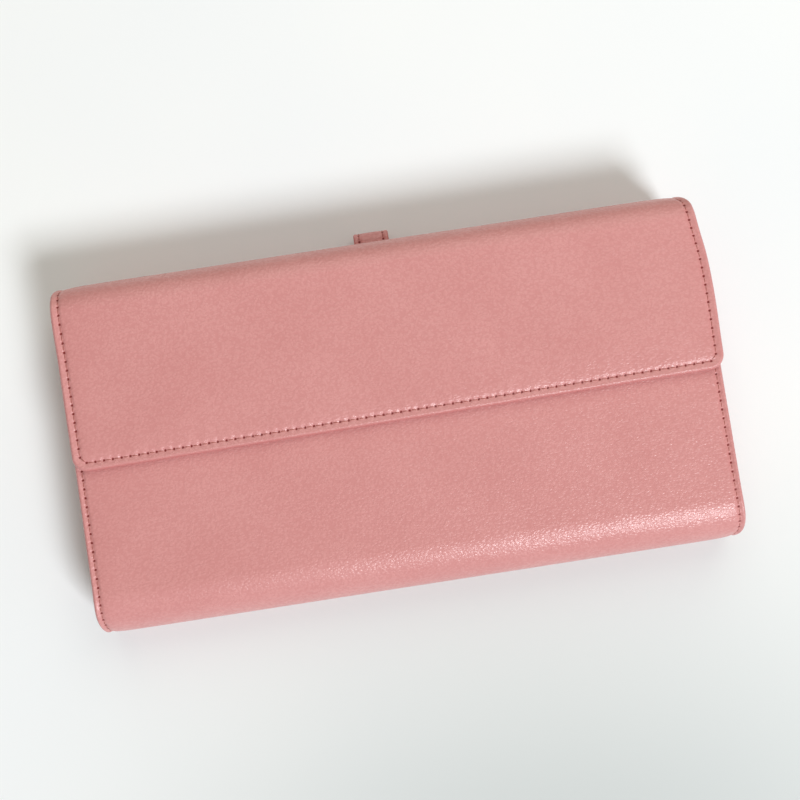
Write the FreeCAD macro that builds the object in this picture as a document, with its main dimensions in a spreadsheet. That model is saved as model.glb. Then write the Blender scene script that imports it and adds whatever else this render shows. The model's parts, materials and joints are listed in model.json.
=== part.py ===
import FreeCAD, Part

# Long wallet: a leather body that lies on its back, with a flap that folds over the front,
# two bill compartments with a divider, six card slots, and a coin pocket at the rear that a
# snap strap closes. The flap closes on a press stud.
#
# Millimetres, +Z up out of the flap, +Y towards the top roll, +X to the right. The wallet is
# drawn about the middle of its body, and every piece is then shifted by half of what the
# strap's loop stands out, so that the origin is under the middle of the whole object.
#
# Leather that folds is one piece on the real wallet. Here it is cut at each fold's outermost
# line, which is the hinge line, so that the rigid halves open away from each other.

import math
import os

import Sketcher

DIMENSIONS = {
    "width": (192.0, "flap and top roll, side to side"),
    "height": (102.5, "bottom roll to top roll"),
    "body_inset": (0.5, "the body is this much narrower than the flap, each side"),
    "loop_reach": (6.3, "how far the strap's loop stands out past the top roll"),
    "leather": (1.2, "outer leather"),
    "lining": (0.5, "lining leather"),
    "board": (0.8, "stiffening board"),
    "space": (4.6, "room in each compartment"),
    "slot_leather": (0.6, "card slot leather"),
    "flap_gap": (0.3, "between the closed flap and the front wall"),
    "top_bend": (8.0, "outer radius of the top roll's two bends"),
    "flap_drop": (53.6, "top roll to the flap's free edge"),
    "flap_corner": (4.5, "radius of the flap's free corners"),
    "turned_edge": (1.6, "leather turned over the flap's edge"),
    "wall_corner": (3.0, "radius of the walls' top corners"),
    "rear_drop": (17.0, "top roll to the coin pocket's mouth"),
    "front_drop": (14.0, "top roll to the front wall's edge"),
    "divider_drop": (11.0, "top roll to the divider's edge"),
    "core_foot": (3.6, "bottom roll to the middle wall's lower edge"),
    "edge_step": (1.0, "linings and boards stop this far inside the leather"),
    "slot_width": (87.5, "card slot, side to side"),
    "slot_middle": (1.5, "between the two columns of card slots"),
    "slot_drop": (20.0, "top roll to the highest card slot's edge"),
    "slot_step": (13.0, "each card slot's edge is this far below the last"),
    "slot_depth": (72.0, "highest card slot, top to bottom"),
    "slot_corner": (2.0, "radius of a card slot's top corners"),
    "gusset_leather": (0.5, "gusset leather"),
    "gusset_inset": (0.5, "gusset's glued strip to the body's edge"),
    "gusset_strip": (3.0, "width of a gusset's glued strip"),
    "bill_gusset_depth": (7.0, "bill gusset, strip's edge to its fold"),
    "coin_gusset_depth": (10.0, "coin gusset, strip's edge to its fold"),
    "gusset_drop": (18.0, "top roll to a gusset's upper edge"),
    "gusset_foot": (13.0, "bottom roll to a gusset's lower edge"),
    "strap_width": (10.8, "snap strap, side to side"),
    "strap_leather": (1.0, "strap leather"),
    "strap_lift": (0.8, "room for the snap cap under the strap"),
    "strap_drop": (40.0, "top roll to the strap's end"),
    "strap_corner": (4.5, "radius of the strap's end corners"),
    "strap_root": (15.5, "top roll to where the strap is sewn on"),
    "channel_gap": (0.8, "between the strap and the sides of its channel"),
    "channel_depth": (3.8, "how deep the strap's channel is pressed into the rear wall"),
    "tab_snap_drop": (33.0, "top roll to the strap's snap"),
    "flap_snap_rise": (8.0, "flap's free edge to the flap's snap"),
    "dimple_depth": (1.7, "how deep the front wall is pressed in for the flap's snap"),
    "dimple_radius": (5.6, "inner radius of that dimple"),
    "snap_radius": (5.0, "snap socket"),
    "cap_radius": (4.5, "snap cap"),
    "cavity_radius": (2.6, "hollow of the snap socket"),
    "stud_radius": (2.0, "head of the snap stud"),
    "flange_radius": (4.0, "flange of the snap stud"),
    "eyelet_radius": (3.5, "snap eyelet"),
    "shank_radius": (1.2, "shank of the snap stud"),
    "post_radius": (1.0, "post of the snap cap"),
    "snap_play": (0.05, "round a shank or post in its hole"),
    "cap_height": (0.7, "snap cap, above what it sits on"),
    "flap_socket": (1.6, "height of the flap's socket"),
    "flap_plate": (0.4, "plate, flange and eyelet of the flap's snap"),
    "flap_head": (0.9, "stud head of the flap's snap, above its flange"),
    "tab_socket": (1.2, "height of the strap's socket"),
    "tab_plate": (0.3, "plate, flange and eyelet of the strap's snap"),
    "tab_head": (0.7, "stud head of the strap's snap, above its flange"),
}

CARD_TIERS = 3

doc = FreeCAD.newDocument("long_wallet")


class Size:
    """A length: its number now, and the spreadsheet formula that gives it."""

    def __init__(self, number, formula):
        self.number = number
        self.formula = formula

    def joined(self, sign, other, number):
        return Size(number, f"({self.formula} {sign} {as_size(other).formula})")

    def __add__(self, other):
        return self.joined("+", other, self.number + as_size(other).number)

    def __sub__(self, other):
        return self.joined("-", other, self.number - as_size(other).number)

    def __mul__(self, other):
        return self.joined("*", other, self.number * as_size(other).number)

    def __truediv__(self, other):
        return self.joined("/", other, self.number / as_size(other).number)

    def __rsub__(self, other):
        return as_size(other) - self

    def __neg__(self):
        return ZERO - self

    __radd__ = __add__
    __rmul__ = __mul__


def as_size(value):
    """A Size as it is, or a plain number as one."""
    return value if isinstance(value, Size) else Size(value, f"{value:.9g}")


ZERO = Size(0.0, "0")


def fill_sheet():
    """Writes the driving dimensions to the spreadsheet, and returns them by name."""
    sheet = doc.addObject("Spreadsheet::Sheet", "Dims")
    for row, (alias, (number, meaning)) in enumerate(DIMENSIONS.items(), start=1):
        sheet.set(f"A{row}", alias)
        sheet.set(f"B{row}", str(number))
        sheet.set(f"C{row}", meaning)
        sheet.setAlias(f"B{row}", alias)
    doc.recompute()
    return {alias: Size(number, f"Dims.{alias}") for alias, (number, _) in DIMENSIONS.items()}


D = fill_sheet()

# Heights of the layers, from the table up.
rear_top = D["leather"] + D["lining"]
core_low = rear_top + D["space"]
core_board_low = core_low + D["leather"]
core_lining_low = core_board_low + D["board"]
slots_low = core_lining_low + D["lining"]
slots_top = slots_low + D["slot_leather"] * CARD_TIERS
divider_low = slots_top + D["space"]
divider_board_low = divider_low + D["lining"]
divider_lining_low = divider_board_low + D["board"]
divider_top = divider_lining_low + D["lining"]
front_lining_low = divider_top + D["space"]
front_board_low = front_lining_low + D["lining"]
front_leather_low = front_board_low + D["board"]
front_top = front_leather_low + D["leather"]
flap_lining_low = front_top + D["flap_gap"]
flap_board_low = flap_lining_low + D["lining"]
flap_leather_low = flap_board_low + D["board"]
flap_top = flap_leather_low + D["leather"]

# Places along the wallet, bottom roll to top roll.
top_line = D["height"] / 2
bottom_line = -top_line
roll_radius = front_top / 2
roll_middle = bottom_line + roll_radius
bend_start = top_line - D["top_bend"]
core_bottom = bottom_line + D["core_foot"]
flap_edge = top_line - D["flap_drop"]
mouth_line = top_line - D["rear_drop"]
front_line = top_line - D["front_drop"]
divider_line = top_line - D["divider_drop"]
tab_snap_line = top_line - D["tab_snap_drop"]
flap_snap_line = flap_edge + D["flap_snap_rise"]

# Places across it.
half_flap = D["width"] / 2
half_body = half_flap - D["body_inset"]
half_lining = half_body - D["edge_step"]


def new_body(name, turned_over=False, y=ZERO, z=ZERO):
    """An empty PartDesign body, shifted so that the origin is under the whole object."""
    body = doc.addObject("PartDesign::Body", name)
    body.Label = name
    rotation = FreeCAD.Rotation(FreeCAD.Vector(1, 0, 0), 180 if turned_over else 0)
    body.Placement = FreeCAD.Placement(FreeCAD.Vector(), rotation)
    body.setExpression("Placement.Base.y", (y - D["loop_reach"] / 2).formula)
    body.setExpression("Placement.Base.z", z.formula)
    return body


def new_sketch(body, role, offset=ZERO):
    """A sketch on one of the body's origin planes, moved along that plane's normal."""
    sketch = body.newObject("Sketcher::SketchObject", f"{body.Name}_sketch")
    plane = next(f for f in body.Origin.OriginFeatures if f.Role == role)
    sketch.AttachmentSupport = [(plane, "")]
    sketch.MapMode = "FlatFace"
    sketch.setExpression("AttachmentOffset.Base.z", offset.formula)
    return sketch


def hold(sketch, constraint, size):
    """Adds a constraint whose value follows the spreadsheet."""
    index = sketch.addConstraint(constraint)
    sketch.setExpression(f"Constraints[{index}]", size.formula)


def arc_between(start, end, radius, leftward):
    """The arc from one point to another that turns left or right as it goes."""
    chord = end - start
    middle = (start + end) * 0.5
    rise = math.sqrt(max(radius**2 - (chord.Length / 2) ** 2, 0.0))
    side = FreeCAD.Vector(-chord.y, chord.x, 0).normalize()
    centre = middle + side * (rise if leftward else -rise)
    first, last = (start, end) if leftward else (end, start)
    angles = [math.atan2(p.y - centre.y, p.x - centre.x) for p in (first, last)]
    circle = Part.Circle(centre, FreeCAD.Vector(0, 0, 1), radius)
    return Part.ArcOfCircle(circle, *angles)


def draw_outline(sketch, corners, arcs=None):
    """A closed outline through corners. arcs maps a corner's index to the radius of the arc
    that leaves it, negative for one that turns right."""
    arcs = arcs or {}
    points = [FreeCAD.Vector(as_size(x).number, as_size(y).number, 0) for x, y in corners]
    count, ends = len(points), []
    for i, point in enumerate(points):
        following = points[(i + 1) % count]
        if i in arcs:
            radius = as_size(arcs[i])
            leftward = radius.number > 0
            arc = arc_between(point, following, abs(radius.number), leftward)
            edge = sketch.addGeometry(arc)
            ends.append((edge, 1, 2) if leftward else (edge, 2, 1))
        else:
            ends.append((sketch.addGeometry(Part.LineSegment(point, following)), 1, 2))
    for i, (edge, _, end) in enumerate(ends):
        follower, start, _ = ends[(i + 1) % count]
        sketch.addConstraint(Sketcher.Constraint("Coincident", edge, end, follower, start))
    for (edge, start, _), (x, y) in zip(ends, corners):
        for kind, size in (("DistanceX", as_size(x)), ("DistanceY", as_size(y))):
            hold(sketch, Sketcher.Constraint(kind, -1, 1, edge, start, size.number), size)
    for i, radius in arcs.items():
        size = as_size(radius)
        size = size if size.number > 0 else -size
        hold(sketch, Sketcher.Constraint("Radius", ends[i][0], size.number), size)


def draw_circle(sketch, x, y, radius):
    """A circle held by its centre and radius."""
    centre = FreeCAD.Vector(x.number, y.number, 0)
    circle = Part.Circle(centre, FreeCAD.Vector(0, 0, 1), radius.number)
    edge = sketch.addGeometry(circle)
    hold(sketch, Sketcher.Constraint("DistanceX", -1, 1, edge, 3, x.number), x)
    hold(sketch, Sketcher.Constraint("DistanceY", -1, 1, edge, 3, y.number), y)
    hold(sketch, Sketcher.Constraint("Radius", edge, radius.number), radius)


def extrude(body, sketch, length, symmetric=False, cut=False):
    """Pads the sketch along its normal, or cuts upward from it."""
    feature = body.newObject(
        "PartDesign::Pocket" if cut else "PartDesign::Pad", f"{body.Name}_step"
    )
    feature.Profile = sketch
    feature.SideType = "Symmetric" if symmetric else "One side"
    feature.Reversed = cut
    feature.setExpression("Length", length.formula)
    sketch.Visibility = False
    if cut:
        before = body.Shape.Volume
        doc.recompute()
        if body.Shape.Volume >= before:
            raise RuntimeError(f"a pocket in {body.Label} cuts nothing")
    doc.recompute()
    return feature


def box_outline(left, right, low, high, corner=None):
    """A rectangle, with its two upper corners rounded if a radius is given."""
    if corner is None:
        return [(left, low), (right, low), (right, high), (left, high)], {}
    corners = [
        (left, low),
        (right, low),
        (right, high - corner),
        (right - corner, high),
        (left + corner, high),
        (left, high - corner),
    ]
    return corners, {2: corner, 4: corner}


def tongue_outline(half, low, high, corner):
    """A rectangle about the middle line, with its two lower corners rounded."""
    corners = [
        (-half, low + corner),
        (corner - half, low),
        (half - corner, low),
        (half, low + corner),
        (half, high),
        (-half, high),
    ]
    return corners, {0: corner, 2: corner}


def add_plate(body, outline, low, thickness, cut=False):
    """A flat piece seen from above, or a cut of that outline."""
    sketch = new_sketch(body, "XY_Plane", low)
    draw_outline(sketch, *outline)
    extrude(body, sketch, thickness, cut=cut)


def add_disc(body, y, radius, low, thickness, cut=False):
    """A round piece on the middle line, seen from above, or a cut."""
    sketch = new_sketch(body, "XY_Plane", low)
    draw_circle(sketch, ZERO, y, radius)
    extrude(body, sketch, thickness, cut=cut)


def add_side_profile(body, outline, half_width):
    """A piece drawn from the side, as wide as the wallet."""
    sketch = new_sketch(body, "YZ_Plane")
    draw_outline(sketch, *outline)
    extrude(body, sketch, half_width * 2, symmetric=True)


def add_bend(body, centre, outer, thickness, degrees, half_width):
    """A bend about an axis across the wallet, between two angles from +Y towards +Z."""
    inner = outer - thickness
    first, last = ((math.cos(math.radians(a)), math.sin(math.radians(a))) for a in degrees)
    y, z = centre
    corners = [
        (y + outer * first[0], z + outer * first[1]),
        (y + outer * last[0], z + outer * last[1]),
        (y + inner * last[0], z + inner * last[1]),
        (y + inner * first[0], z + inner * first[1]),
    ]
    add_side_profile(body, (corners, {0: outer, 2: -inner}), half_width)


def turned(body, corners):
    """A round metal piece: its half section, turned about the upright axis."""
    sketch = new_sketch(body, "XZ_Plane")
    draw_outline(sketch, corners)
    feature = body.newObject("PartDesign::Revolution", f"{body.Name}_turned")
    feature.Profile = sketch
    feature.ReferenceAxis = (sketch, ["V_Axis"])
    feature.Angle = 360
    sketch.Visibility = False
    doc.recompute()


# ---------------------------------------------------------------- rear wall and coin pocket


def channel_outline(grown):
    """The strap's channel in the rear wall, open at the mouth, grown by a wall's thickness."""
    half = D["strap_width"] / 2 + D["channel_gap"] + grown
    low = top_line - D["strap_drop"] - D["channel_gap"] - grown
    return box_outline(-half, half, low, mouth_line)


def press_channel(body, low, thickness, leather_below):
    """Presses the strap's channel into a flat layer of the rear wall."""
    raised = D["channel_depth"] + leather_below
    add_plate(body, channel_outline(leather_below + thickness), low, raised + thickness - low)
    add_plate(body, channel_outline(leather_below), low, raised - low, cut=True)


def rear_leather():
    body = new_body("rear_leather")
    wall = box_outline(-half_body, half_body, roll_middle, mouth_line, D["wall_corner"])
    add_plate(body, wall, ZERO, D["leather"])
    add_bend(
        body, (roll_middle, roll_radius), roll_radius, D["leather"], (180, 270), half_body
    )
    press_channel(body, ZERO, D["leather"], ZERO)
    hole = D["shank_radius"] + D["snap_play"]
    add_disc(body, tab_snap_line, hole, D["channel_depth"], D["leather"], cut=True)


def rear_lining():
    body = new_body("rear_lining")
    wall = box_outline(
        -half_lining, half_lining, roll_middle, mouth_line - D["edge_step"], D["wall_corner"]
    )
    add_plate(body, wall, D["leather"], D["lining"])
    add_bend(
        body,
        (roll_middle, roll_radius),
        roll_radius - D["leather"],
        D["lining"],
        (225, 270),
        half_lining,
    )
    raised = D["channel_depth"] + D["leather"]
    press_channel(body, D["leather"], D["lining"], D["leather"])
    beyond = mouth_line - D["edge_step"]
    trim = box_outline(-half_lining, half_lining, beyond, mouth_line + D["edge_step"])
    add_plate(body, trim, D["leather"], raised, cut=True)
    hole = D["shank_radius"] + D["snap_play"]
    add_disc(body, tab_snap_line, hole, raised, D["lining"], cut=True)


# ---------------------------------------------------------------- middle wall and top roll


def layer_with_bend(name, levels, radius, thickness, half_width, bottom):
    """A layer of the middle wall that runs into the lower half of the top roll's first bend."""
    body = new_body(name)
    add_plate(body, box_outline(-half_width, half_width, bottom, bend_start), levels, thickness)
    centre = (bend_start, core_low + D["top_bend"])
    add_bend(body, centre, radius, thickness, (270, 315), half_width)


def middle_wall():
    layer_with_bend(
        "core_leather", core_low, D["top_bend"], D["leather"], half_body, core_bottom
    )
    board = new_body("core_board")
    inside = box_outline(
        -half_lining, half_lining, core_bottom + D["edge_step"], bend_start - D["edge_step"]
    )
    add_plate(board, inside, core_board_low, D["board"])
    layer_with_bend(
        "core_lining",
        core_lining_low,
        D["top_bend"] - D["leather"] - D["board"],
        D["lining"],
        half_lining,
        core_bottom + D["edge_step"],
    )


def roll_strip(name, depth, thickness, half_width):
    """The top roll's upright strip with the inner halves of both bends, at a depth below the
    outer surface."""
    body = new_body(name)
    outer = D["top_bend"] - depth
    lower = (bend_start, core_low + D["top_bend"])
    upper = (bend_start, flap_top - D["top_bend"])
    add_bend(body, lower, outer, thickness, (315, 360), half_width)
    face = bend_start + outer
    strip = box_outline(face - thickness, face, lower[1], upper[1])
    add_side_profile(body, strip, half_width)
    add_bend(body, upper, outer, thickness, (0, 45), half_width)


def card_slots():
    """Three tiers of two slots on the middle wall, each lower and nearer than the last."""
    bottom = top_line - D["slot_drop"] - D["slot_depth"]
    for tier in range(CARD_TIERS):
        top = top_line - D["slot_drop"] - D["slot_step"] * tier
        low = slots_low + D["slot_leather"] * tier
        near = D["slot_middle"] / 2
        far = near + D["slot_width"]
        for side, left, right in (("left", -far, -near), ("right", near, far)):
            body = new_body(f"card_slot_{tier + 1}_{side}")
            panel = box_outline(left, right, bottom, top, D["slot_corner"])
            add_plate(body, panel, low, D["slot_leather"])


# ---------------------------------------------------------------- divider and front wall


def divider():
    layers = (
        ("divider_lining_rear", divider_low, D["lining"], half_lining),
        ("divider_board", divider_board_low, D["board"], half_lining - D["edge_step"]),
        ("divider_lining_front", divider_lining_low, D["lining"], half_lining),
    )
    for name, low, thickness, half in layers:
        body = new_body(name)
        panel = box_outline(-half, half, roll_middle, divider_line, D["wall_corner"])
        add_plate(body, panel, low, thickness)


def press_dimple(body, low, thickness, leather_above):
    """Presses the snap's dimple down into a flat layer of the front wall."""
    inner = D["dimple_radius"] + leather_above
    top = low + thickness
    floor = front_top - D["dimple_depth"] - leather_above
    add_disc(body, flap_snap_line, inner + thickness, floor - thickness, top - floor + thickness)
    add_disc(body, flap_snap_line, inner, floor, top - floor, cut=True)
    hole = D["shank_radius"] + D["snap_play"]
    add_disc(body, flap_snap_line, hole, floor - thickness, thickness, cut=True)


def front_wall():
    body = new_body("front_leather")
    wall = box_outline(-half_body, half_body, roll_middle, front_line, D["wall_corner"])
    add_plate(body, wall, front_leather_low, D["leather"])
    centre = (roll_middle, roll_radius)
    add_bend(body, centre, roll_radius, D["leather"], (90, 180), half_body)
    press_dimple(body, front_leather_low, D["leather"], ZERO)

    board = new_body("front_board")
    top = front_line - D["edge_step"]
    inside = box_outline(-half_lining, half_lining, roll_middle, top, D["wall_corner"])
    add_plate(board, inside, front_board_low, D["board"])
    hole = D["dimple_radius"] + D["leather"] + D["snap_play"]
    add_disc(board, flap_snap_line, hole, front_board_low, D["board"], cut=True)

    lining = new_body("front_lining")
    add_plate(lining, inside, front_lining_low, D["lining"])
    inner = roll_radius - D["leather"] - D["board"]
    add_bend(lining, centre, inner, D["lining"], (90, 180), half_lining)
    press_dimple(lining, front_lining_low, D["lining"], D["leather"])


# ---------------------------------------------------------------- flap


def flap():
    body = new_body("flap_leather")
    whole = tongue_outline(half_flap, flap_edge, bend_start, D["flap_corner"])
    add_plate(body, whole, flap_lining_low, flap_top - flap_lining_low)
    inside = tongue_outline(
        half_flap - D["turned_edge"],
        flap_edge + D["turned_edge"],
        bend_start,
        D["flap_corner"] - D["turned_edge"],
    )
    add_plate(body, inside, flap_lining_low, flap_leather_low - flap_lining_low, cut=True)
    centre = (bend_start, flap_top - D["top_bend"])
    add_bend(body, centre, D["top_bend"], D["leather"], (45, 90), half_flap)

    board = new_body("flap_board")
    add_plate(board, inside, flap_board_low, D["board"])
    hole = D["cap_radius"] + D["snap_play"] * 2
    add_disc(board, flap_snap_line, hole, flap_board_low, D["board"], cut=True)

    lining = new_body("flap_lining")
    add_plate(lining, inside, flap_lining_low, D["lining"])
    inner = D["top_bend"] - D["leather"] - D["board"]
    half = half_flap - D["turned_edge"]
    add_bend(lining, centre, inner, D["lining"], (45, 90), half)
    hole = D["post_radius"] + D["snap_play"]
    add_disc(lining, flap_snap_line, hole, flap_lining_low, D["lining"], cut=True)


# ---------------------------------------------------------------- snap strap


def strap_layer(name, depth, thickness, upper):
    """One layer of the strap, at a depth inside its outer face: the sewn root with the upper
    quarter of the loop, or the strap itself with the lower quarter."""
    body = new_body(name)
    loop = (core_low - D["strap_lift"]) / 2
    centre = (top_line + D["loop_reach"] - loop, D["strap_lift"] + loop)
    half = D["strap_width"] / 2
    if upper:
        root = box_outline(-half, half, top_line - D["strap_root"], centre[0])
        add_plate(body, root, core_low - depth - thickness, thickness)
        add_bend(body, centre, loop - depth, thickness, (0, 90), half)
    else:
        end = top_line - D["strap_drop"]
        strap = tongue_outline(half, end, centre[0], D["strap_corner"])
        add_plate(body, strap, D["strap_lift"] + depth, thickness)
        add_bend(body, centre, loop - depth, thickness, (270, 360), half)
        hole = D["post_radius"] + D["snap_play"]
        low = D["strap_lift"] + depth
        add_disc(body, tab_snap_line, hole, low, thickness, cut=True)


# ---------------------------------------------------------------- press studs


def stud(name, y, z, turned_over, plate, head, through):
    """Flange and head on the leather, and a shank through it. z is the leather's face."""
    body = new_body(name, turned_over, y, z)
    foot = -(through + plate)
    top = plate + head
    neck = D["stud_radius"] * 0.85
    corners = [
        (ZERO, foot),
        (D["shank_radius"], foot),
        (D["shank_radius"], ZERO),
        (D["flange_radius"], ZERO),
        (D["flange_radius"], plate * 0.6),
        (D["stud_radius"] * 1.3, plate),
        (neck, plate + head * 0.2),
        (D["stud_radius"], plate + head * 0.55),
        (neck, top),
        (ZERO, top),
    ]
    turned(body, corners)


def eyelet(name, y, z, turned_over, plate, through):
    """The ring that the stud's shank is set in, behind the wall."""
    body = new_body(name, turned_over, y, z)
    hole = D["shank_radius"] + D["snap_play"]
    low = -(through + plate)
    corners = [
        (hole, low),
        (D["eyelet_radius"] * 0.8, low),
        (D["eyelet_radius"], low + plate * 0.5),
        (D["eyelet_radius"], -through),
        (hole, -through),
    ]
    turned(body, corners)


def socket(name, y, z, turned_over, plate, height):
    """The ring that the stud's head goes into. z is the face that it sits on."""
    body = new_body(name, turned_over, y, z)
    hole = D["post_radius"] + D["snap_play"]
    corners = [
        (hole, ZERO),
        (D["snap_radius"], ZERO),
        (D["snap_radius"], height * 0.5),
        (D["snap_radius"] * 0.86, height),
        (D["cavity_radius"], height),
        (D["cavity_radius"], plate),
        (hole, plate),
    ]
    turned(body, corners)


def cap(name, y, z, turned_over, through):
    """A low dome with a post through the leather and the socket's plate."""
    body = new_body(name, turned_over, y, z)
    rim = D["cap_height"] * 0.45
    corners = [
        (ZERO, -through),
        (D["post_radius"], -through),
        (D["post_radius"], ZERO),
        (D["cap_radius"], ZERO),
        (D["cap_radius"], rim),
        (D["cap_radius"] * 0.78, D["cap_height"] * 0.9),
        (D["cap_radius"] * 0.4, D["cap_height"]),
        (ZERO, D["cap_height"]),
    ]
    turned(body, corners)


def flap_snap():
    y, plate = flap_snap_line, D["flap_plate"]
    wall = D["leather"] + D["lining"]
    floor = front_top - D["dimple_depth"]
    stud("flap_snap_stud", y, floor, False, plate, D["flap_head"], wall)
    eyelet("flap_snap_eyelet", y, floor, False, plate, wall)
    socket("flap_snap_socket", y, flap_lining_low, True, plate, D["flap_socket"])
    cap("flap_snap_cap", y, flap_board_low, False, D["lining"] + plate)


def tab_snap():
    y, plate = tab_snap_line, D["tab_plate"]
    wall = D["leather"] + D["lining"]
    strap = D["strap_leather"] + D["lining"]
    ceiling = D["channel_depth"]
    stud("tab_snap_stud", y, ceiling, True, plate, D["tab_head"], wall)
    eyelet("tab_snap_eyelet", y, ceiling, True, plate, wall)
    inner_face = D["strap_lift"] + strap
    socket("tab_snap_socket", y, inner_face, False, plate, D["tab_socket"])
    cap("tab_snap_cap", y, D["strap_lift"], True, strap + plate)


# ---------------------------------------------------------------- gussets


def gusset(name, side, low, high, depth):
    """A strip folded inwards once between two walls, with its two edges glued to them."""
    body = new_body(name)
    top = top_line - D["gusset_drop"]
    bottom = bottom_line + D["gusset_foot"]
    thick = D["gusset_leather"]
    edge = half_body - D["gusset_inset"]
    strip = edge - D["gusset_strip"]
    fold = edge - depth
    middle = (low + high) / 2
    slope = (strip - fold) / (middle - low)
    across = thick * math.hypot(1.0, slope.number)
    inner_fold = fold + across
    inner_strip = inner_fold + (middle - low - thick) * slope
    corners = [
        (edge, low),
        (edge, low + thick),
        (inner_strip, low + thick),
        (inner_fold, middle),
        (inner_strip, high - thick),
        (edge, high - thick),
        (edge, high),
        (strip, high),
        (fold, middle),
        (strip, low),
    ]
    # XZ_Plane's normal points along -Y.
    sketch = new_sketch(body, "XZ_Plane", -(top + bottom) / 2)
    draw_outline(sketch, [(x * side, z) for x, z in corners])
    extrude(body, sketch, top - bottom, symmetric=True)


def gussets():
    gaps = (
        ("coin_gusset", rear_top, core_low, D["coin_gusset_depth"]),
        ("bill_gusset_rear", slots_low, divider_low, D["bill_gusset_depth"]),
        ("bill_gusset_front", divider_top, front_lining_low, D["bill_gusset_depth"]),
    )
    for name, low, high, depth in gaps:
        for word, side in (("left", -1), ("right", 1)):
            gusset(f"{name}_{word}", side, low, high, depth)


# ---------------------------------------------------------------- the whole wallet


def write_parts():
    """Checks every object of the document, then writes each body to its own STEP file."""
    doc.recompute()
    for item in doc.Objects:
        if {"Invalid", "Error"} & set(item.State):
            raise RuntimeError(f"{item.Label} failed: {item.State}")
    bodies = [item for item in doc.Objects if item.TypeId == "PartDesign::Body"]
    for body in bodies:
        shape = body.Shape
        if shape.isNull() or not shape.isValid() or len(shape.Solids) != 1:
            raise RuntimeError(f"{body.Label} isn't one valid solid")
    os.makedirs("parts", exist_ok=True)
    for body in bodies:
        body.Shape.exportStep(f"parts/{body.Label}.step")
    print(f"{len(bodies)} parts, {flap_top.number:.1f} mm thick")


rear_leather()
rear_lining()
middle_wall()
roll_strip("spine_leather", ZERO, D["leather"], half_flap)
roll_strip("spine_lining", D["leather"] + D["board"], D["lining"], half_lining)
card_slots()
divider()
front_wall()
flap()
strap_layer("tab_root_leather", ZERO, D["strap_leather"], upper=True)
strap_layer("tab_root_lining", D["strap_leather"], D["lining"], upper=True)
strap_layer("tab_strap_leather", ZERO, D["strap_leather"], upper=False)
strap_layer("tab_strap_lining", D["strap_leather"], D["lining"], upper=False)
flap_snap()
tab_snap()
gussets()
write_parts()
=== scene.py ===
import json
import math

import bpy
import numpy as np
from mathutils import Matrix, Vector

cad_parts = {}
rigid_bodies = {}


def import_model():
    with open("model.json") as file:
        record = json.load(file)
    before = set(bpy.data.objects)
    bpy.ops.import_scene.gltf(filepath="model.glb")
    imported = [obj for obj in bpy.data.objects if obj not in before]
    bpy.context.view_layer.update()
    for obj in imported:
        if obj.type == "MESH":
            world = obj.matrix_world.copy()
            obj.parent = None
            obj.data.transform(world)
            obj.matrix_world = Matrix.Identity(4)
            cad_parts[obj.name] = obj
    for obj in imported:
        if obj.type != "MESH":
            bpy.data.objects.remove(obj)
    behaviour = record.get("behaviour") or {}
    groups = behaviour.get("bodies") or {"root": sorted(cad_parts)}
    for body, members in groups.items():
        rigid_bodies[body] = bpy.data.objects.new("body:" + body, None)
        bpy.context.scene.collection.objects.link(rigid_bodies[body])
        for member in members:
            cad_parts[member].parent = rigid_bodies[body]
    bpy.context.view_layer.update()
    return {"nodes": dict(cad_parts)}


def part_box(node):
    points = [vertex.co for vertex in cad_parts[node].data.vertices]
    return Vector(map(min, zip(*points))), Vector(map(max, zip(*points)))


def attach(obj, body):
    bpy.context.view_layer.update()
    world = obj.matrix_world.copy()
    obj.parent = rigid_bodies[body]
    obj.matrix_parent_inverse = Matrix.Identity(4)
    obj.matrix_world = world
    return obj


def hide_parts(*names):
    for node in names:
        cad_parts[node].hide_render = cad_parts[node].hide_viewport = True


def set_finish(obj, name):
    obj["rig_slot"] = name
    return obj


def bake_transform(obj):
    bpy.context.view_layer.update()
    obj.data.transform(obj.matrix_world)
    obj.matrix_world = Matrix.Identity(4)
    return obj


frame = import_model()

# Long wallet. Every leather piece is a sheet of real thickness that follows a line seen from
# the side, with rounded edges. A sewn one has a stitched groove, with a raised lip outside it
# and a slight puff inside it. Sizes are in millimetres in the row's frame until a mesh is made.
# Pairs of values for the two sides are given as (left, right).

MM = 0.001


def low(node):
    return np.array(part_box(node)[0]) / MM


def high(node):
    return np.array(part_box(node)[1]) / MM


LEATHER, LINING, BOARD = 1.2, 0.5, 0.8
BEND = 8.0
TOP = high("spine_leather")[1]
BOTTOM = low("front_leather")[1] + 0.35
FLAP_HALF = high("flap_leather")[0]
BODY_HALF = high("front_leather")[0]
LINING_HALF = high("front_lining")[0]
FLAP_TOP = high("flap_leather")[2]
FLAP_EDGE = low("flap_leather")[1]
FLAP_LOW = low("flap_board")[2] - LINING
FRONT_TOP = high("front_leather")[2]
FRONT_EDGE = high("front_leather")[1]
FRONT_INNER = low("front_board")[2] - LINING
REAR_MOUTH = high("rear_leather")[1]
REAR_INNER = LEATHER + LINING
CORE_LOW = low("core_leather")[2]
CORE_FOOT = low("core_leather")[1]
CORE_INNER = high("core_board")[2] + LINING
DIVIDER_LOW = low("divider_lining_rear")[2]
DIVIDER_TOP = high("divider_lining_front")[2]
DIVIDER_EDGE = high("divider_board")[1]
ROLL = FRONT_TOP / 2
ROLL_Y = BOTTOM + ROLL
BEND_Y = TOP - BEND
LOW_BEND_Z = CORE_LOW + BEND
HIGH_BEND_Z = FLAP_TOP - BEND
QUARTER = math.pi / 2

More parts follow.
